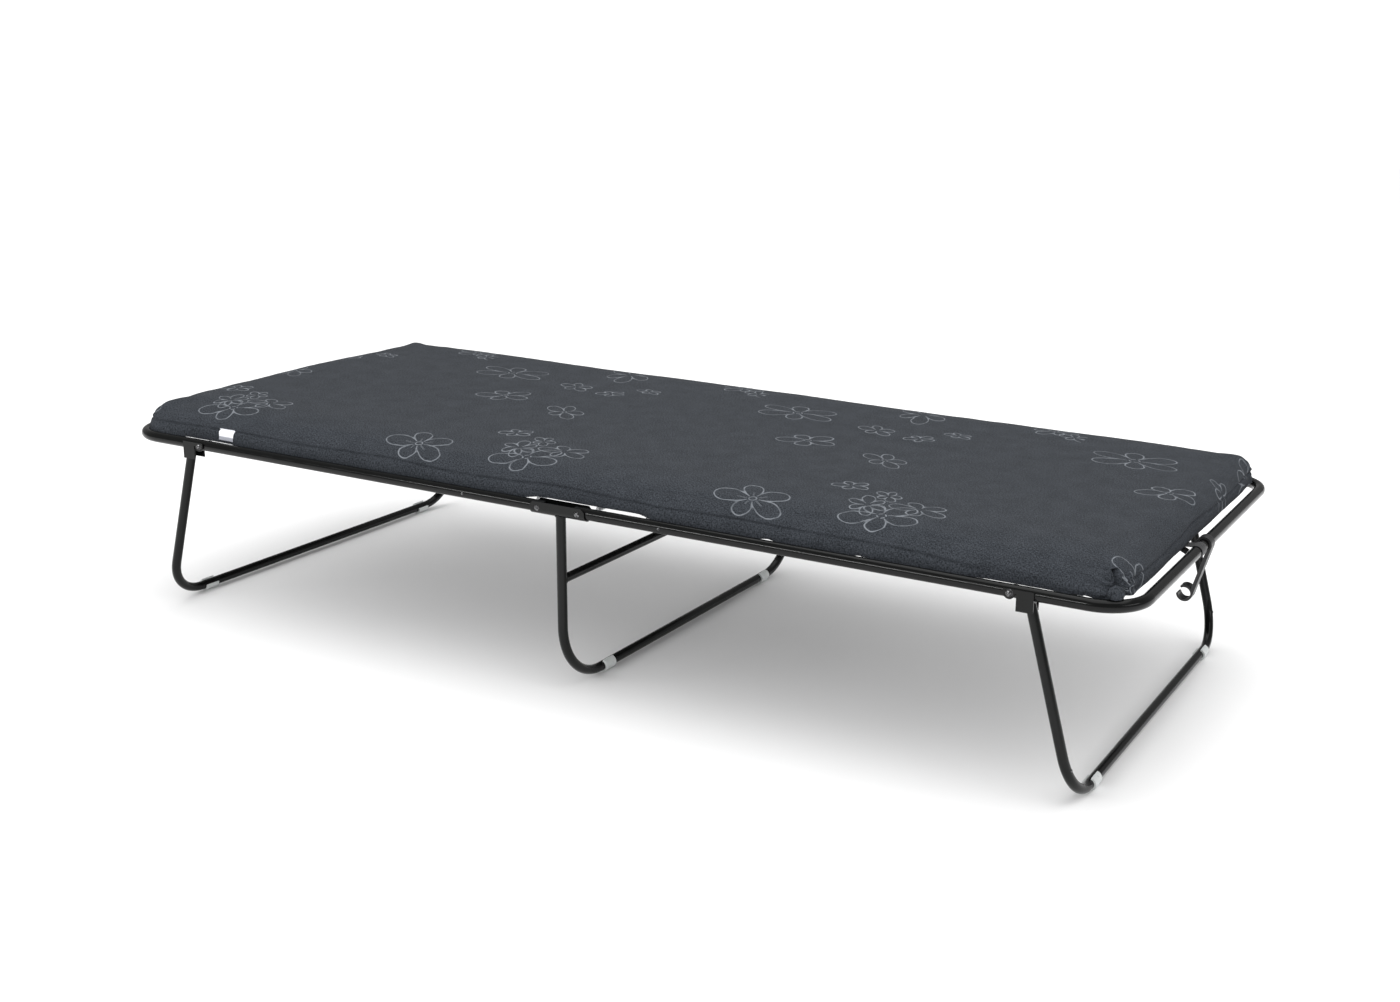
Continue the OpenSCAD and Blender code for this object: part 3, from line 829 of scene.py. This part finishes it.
def label_piece():
    lo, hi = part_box("mattress_label")
    columns, rows = 14, 9
    thick = 0.5 * MM
    front, uvs_at = [], []
    for j in range(rows + 1):
        for i in range(columns + 1):
            x = lo.x + (hi.x - lo.x) * i / columns
            z = lo.z - 1.5 * MM + (hi.z - lo.z) * j / rows
            hit = pad_surface.ray_cast(Vector((x, -pad_half_w - 0.05, z)), Vector((0, 1, 0)))[0]
            y = hit.y if hit else -pad_half_w
            curl = 1.2 * MM * (1 - j / rows) ** 2 + 0.4 * MM * math.sin(i / columns * math.pi)
            front.append(Vector((x, y - 0.7 * MM - curl, z)))
            uvs_at.append((x - lo.x, z - lo.z + 1.5 * MM))
    count = len(front)
    points = front + [p + Vector((0, thick, 0)) for p in front]
    across = columns + 1
    faces, uvs = [], []

    def quad(*corners):
        faces.append(corners)
        uvs.extend(uvs_at[c % count] for c in corners)

    for j in range(rows):
        for i in range(columns):
            a = j * across + i
            quad(a, a + 1, a + across + 1, a + across)
            quad(count + a, count + a + across, count + a + across + 1, count + a + 1)
    edge = [i for i in range(across)] + [j * across + columns for j in range(1, rows + 1)]
    edge += [rows * across + i for i in reversed(range(columns))]
    edge += [j * across for j in reversed(range(1, rows))]
    for a, b in zip(edge, edge[1:] + edge[:1]):
        quad(b, a, count + a, count + b)
    return mesh_object("cot_mattress_label", points, faces, LABEL, uvs, 50)


label = label_piece()
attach(label, "head_frame")
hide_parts("mattress_label")


# ---------- base cloth, springs and straps of each half ----------

# the springs' places along the rail, from the gaps between their CAD solids
ordered = np.sort([v.co.x for v in frame["nodes"]["foot_springs"].data.vertices])
breaks = np.flatnonzero(np.diff(ordered) > 20 * MM)
edges = np.concatenate([[0], breaks + 1, [len(ordered)]])
SPRING_PLACES = [(ordered[a] + ordered[b - 1]) / 2 for a, b in zip(edges[:-1], edges[1:])]


def base_cloth(name, end):
    """The woven base of one half; end is 1 for the foot half and -1 for the head half."""
    thick = 0.9 * MM
    wrap_r = rod_r + 0.35 * MM + thick / 2
    lap = 16 * MM
    profile = [(-hem_y + lap - (lap - 2 * MM) * i / 5, cloth_z - wrap_r) for i in range(6)]
    profile += [(-hem_y - wrap_r * math.sin(a), cloth_z - wrap_r * math.cos(a))
                for a in np.linspace(0.1, math.pi - 0.1, 9)]
    flat = np.linspace(-hem_y + 3 * MM, hem_y - 3 * MM, 62)
    mirrored = [(-y, z) for y, z in reversed(profile)]
    profile += [(y, None) for y in flat] + mirrored
    rows = 92
    across = len(profile)
    middle = []
    for i in range(rows):
        s = i / (rows - 1)
        for y, z in profile:
            reach = cloth_end - 9 * MM * (1 - (abs(y) / hem_y) ** 2) * (1 - hump(y, -66 * MM, 40 * MM))
            x = 0.4 * MM + (reach - 0.4 * MM) * s
            if z is None:
                inward = (hem_y - abs(y)) / hem_y
                rise = wrap_r * (1 - smooth(0, 14 * MM, hem_y - abs(y) - 3 * MM)) + 0.3 * MM
                sag = 1.6 * MM * math.sin(math.pi * s) * smooth(0, 0.35, inward)
                z = cloth_z + float(rise) - float(sag) + 0.25 * MM * math.sin(x * 90) * inward
            middle.append(Vector((end * x, y, z)))
    normals = []
    for i in range(rows):
        for j in range(across):
            a = middle[i * across + min(j + 1, across - 1)] - middle[i * across + max(j - 1, 0)]
            b = middle[min(i + 1, rows - 1) * across + j] - middle[max(i - 1, 0) * across + j]
            normals.append(b.cross(a).normalized() * end)
    count = len(middle)
    points = [p + n * (thick / 2) for p, n in zip(middle, normals)]
    points += [p - n * (thick / 2) for p, n in zip(middle, normals)]
    arc = [0.0]
    for j in range(1, across):
        arc.append(arc[-1] + (middle[j] - middle[j - 1]).length)
    faces, uvs = [], []

    def quad(*corners):
        faces.append(corners if end > 0 else tuple(reversed(corners)))
        for c in faces[-1]:
            uvs.append((abs(middle[c % count].x), arc[c % count % across]))

    for i in range(rows - 1):
        for j in range(across - 1):
            a, b = i * across + j, (i + 1) * across + j
            quad(a, b, b + 1, a + 1)
            quad(count + a, count + a + 1, count + b + 1, count + b)
        for j, flip in ((0, 0), (across - 1, 1)):
            a, b = i * across + j, (i + 1) * across + j
            quad(*((a, count + a, count + b, b) if not flip else (a, b, count + b, count + a)))
    for i, flip in ((0, 0), (rows - 1, 1)):
        for j in range(across - 1):
            a = i * across + j
            quad(*((a, a + 1, count + a + 1, count + a) if not flip
                   else (a, count + a, count + a + 1, a + 1)))
    made = mesh_object(name, points, faces, BASE_CLOTH, uvs, 60)
    bm = bmesh.new()
    bm.from_mesh(made.data)
    bmesh.ops.recalc_face_normals(bm, faces=bm.faces)
    bm.to_mesh(made.data)
    bm.free()
    return made, arc[-1], cloth_end


def spring(x, side, end):
    """A coil with a hook round the hem rod and a hook in the rail."""
    wire = 0.7 * MM
    coil_r = 3.2 * MM
    hook_r = rod_r + 1.7 * MM + wire
    rail_face = half_w - math.sqrt(rail_r ** 2 - (cloth_z - rail_z) ** 2)
    start, stop = hem_y + 12.5 * MM, rail_face - 8.5 * MM
    path = []
    for a in np.linspace(math.radians(-205), 0, 14):     # round the rod from below
        path.append((x, hem_y + hook_r * math.cos(a), cloth_z + hook_r * math.sin(a)))
    path.append((x, start - 2 * MM, cloth_z))
    turns, per_turn = 9, 11
    for i in range(turns * per_turn + 1):
        a = 2 * math.pi * i / per_turn
        grow = min(1.0, i / 4, (turns * per_turn - i) / 4)
        path.append((x + coil_r * grow * math.sin(a), start + (stop - start) * i / (turns * per_turn),
                     cloth_z + coil_r * grow * math.cos(a)))
    path.append((x, stop + 2 * MM, cloth_z))
    path.append((x, rail_face + 0.6 * MM, cloth_z))
    return sweep([(end * px, side * py, pz) for px, py, pz in path], wire, 6)


def end_strap(name, node, end):
    """Webbing that leaves the cloth, goes round the end tube and comes back below."""
    lo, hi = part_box(node)
    y = (lo.y + hi.y) / 2
    width = hi.y - lo.y
    thick = 1.3 * MM
    r = rail_r + 0.75 * MM
    top = cloth_z + 2.0 * MM
    inner = cloth_end - 15 * MM
    path = [(inner + 3.5 * MM * i, top + 0.2 * MM * math.sin(i)) for i in range(6)]
    lift_off = 7 * MM                       # where the strap meets the tube, inboard of its axis
    wrap_end = math.radians(-115)
    meet_z = rail_z + math.sqrt(r * r - lift_off ** 2)
    tangent_x = half_len - lift_off
    path += [(inner + 21 * MM + (tangent_x - inner - 21 * MM) * i / 5,
              top + (meet_z - top) * smooth(0, 1, i / 5)) for i in range(5)]
    start_angle = math.atan2(meet_z - rail_z, -lift_off)
    path += [(half_len + r * math.cos(a), rail_z + r * math.sin(a))
             for a in np.linspace(start_angle, wrap_end, 26)]
    lower = rail_z + r * math.sin(wrap_end)
    leave_x = half_len + r * math.cos(wrap_end)
    path += [(leave_x - 24 * MM * s, lower + (cloth_z - 4.4 * MM - lower) * smooth(0, 1, s))
             for s in np.linspace(0.12, 1, 9)]
    points = [(end * x, y, z) for x, z in path]
    made = ribbon(name, points, (0, end, 0), width, thick, WEBBING, 8)
    length = sum((Vector(b) - Vector(a)).length for a, b in zip(points, points[1:]))
    return made, width, length


for half, end in (("foot", 1), ("head", -1)):
    body = half + "_frame"
    cloth, cloth_wide, cloth_long = base_cloth("cot_base_cloth_" + half, end)
    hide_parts(half + "_base_cloth")
    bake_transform(cloth)

    coils = joined([spring(x, side, end) for x in SPRING_PLACES for side in (-1, 1)])
    coils = mesh_object("cot_springs_" + half, *coils, STEEL)
    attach(coils, body)
    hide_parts(half + "_springs")

    strap, strap_wide, strap_long = end_strap("cot_end_strap_" + half, half + "_end_strap", end)
    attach(strap, body)
    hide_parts(half + "_end_strap")


# ---------- weld beads ----------

def bead(points, radius, seed):
    """A rippled weld bead along a closed line."""
    rng = np.random.default_rng(seed)
    ripple = [radius * (1 + 0.18 * math.sin(i * 1.9) + 0.12 * rng.uniform(-1, 1)) for i in range(len(points))]
    return sweep(points, ripple, 8, closed=True)


post_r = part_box("middle_leg_tube")[1].x
brace_lo, brace_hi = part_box("middle_leg_brace")
brace_r = (brace_hi.z - brace_lo.z) / 2
brace_z = (brace_hi.z + brace_lo.z) / 2
saddle_r = rail_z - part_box("hinge_bracket_near")[0].z
beads = []
turn = [2 * math.pi * i / 40 for i in range(40)]
for side in (-1, 1):
    beads.append(bead([(post_r * math.cos(a), side * half_w + post_r * math.sin(a),
                        rail_z - math.sqrt(saddle_r ** 2 - (post_r * math.sin(a)) ** 2)) for a in turn],
                      1.5 * MM, 5 + side))
    beads.append(bead([(brace_r * math.cos(a),
                        side * (half_w - math.sqrt(post_r ** 2 - (brace_r * math.cos(a)) ** 2)),
                        brace_z + brace_r * math.sin(a)) for a in turn], 1.3 * MM, 15 + side))
welds = mesh_object("cot_middle_leg_welds", *joined(beads), PAINT)
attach(welds, "centre_support")


# ---------- floor, light and camera ----------

floor = mesh_object("floor", [(-9, -7, 0), (9, -7, 0), (9, 12, 0), (-9, 12, 0)], [(0, 1, 2, 3)],
                    floor_material())

world = bpy.data.worlds.new("studio")
bpy.context.scene.world = world
world.use_nodes = True
world.node_tree.nodes["Background"].inputs["Color"].default_value = (1, 1, 1, 1)
sky = Tree(world.node_tree)
mirrored = sky.add("LightPath").outputs["Is Glossy Ray"]     # the gloss sees a dim room and the softboxes
world.node_tree.links.new(sky.between(mirrored, 0.0, 1.0, 1.2, 0.32),
                          world.node_tree.nodes["Background"].inputs["Strength"])


def area_light(name, position, target, size_x, size_y, power):
    lamp = bpy.data.lights.new(name, "AREA")
    lamp.shape = "RECTANGLE"
    lamp.size, lamp.size_y, lamp.energy = size_x, size_y, power
    made = bpy.data.objects.new(name, lamp)
    made.location = position
    made.rotation_euler = (Vector(target) - Vector(position)).to_track_quat("-Z", "Y").to_euler()
    bpy.context.scene.collection.objects.link(made)


area_light("softbox_above", (0.4, 0.3, 3.2), (0, 0, 0.3), 4.5, 3.0, 60)
area_light("softbox_front", (-1.6, -4.2, 2.2), (0, 0, 0.3), 3.4, 0.3, 70)
area_light("softbox_foot_end", (4.2, -0.6, 1.8), (0.6, 0, 0.3), 2.4, 0.5, 12)

# the camera, solved from the tubes' lines in the photograph
camera_position = Vector((1.5416, -2.5317, 1.0837))
yaw, pitch, roll = 0.4443, 0.2785, 0.0316
forward = Vector((-math.sin(yaw) * math.cos(pitch), math.cos(yaw) * math.cos(pitch), -math.sin(pitch)))
right = forward.cross(Vector((0, 0, 1))).normalized()
up = right.cross(forward)
right, up = (right * math.cos(roll) + up * math.sin(roll), -right * math.sin(roll) + up * math.cos(roll))
lens = bpy.data.cameras.new("camera")
lens.sensor_width = 36
lens.lens = 44.01
lens.shift_x = -0.1137
camera = bpy.data.objects.new("camera", lens)
facing = Matrix((right, up, -forward)).transposed().to_4x4()
camera.matrix_world = Matrix.Translation(camera_position) @ facing
bpy.context.scene.collection.objects.link(camera)
bpy.context.scene.camera = camera
bpy.context.scene.view_settings.view_transform = "Standard"
bpy.context.scene.view_settings.look = "None"

bpy.context.view_layer.update()
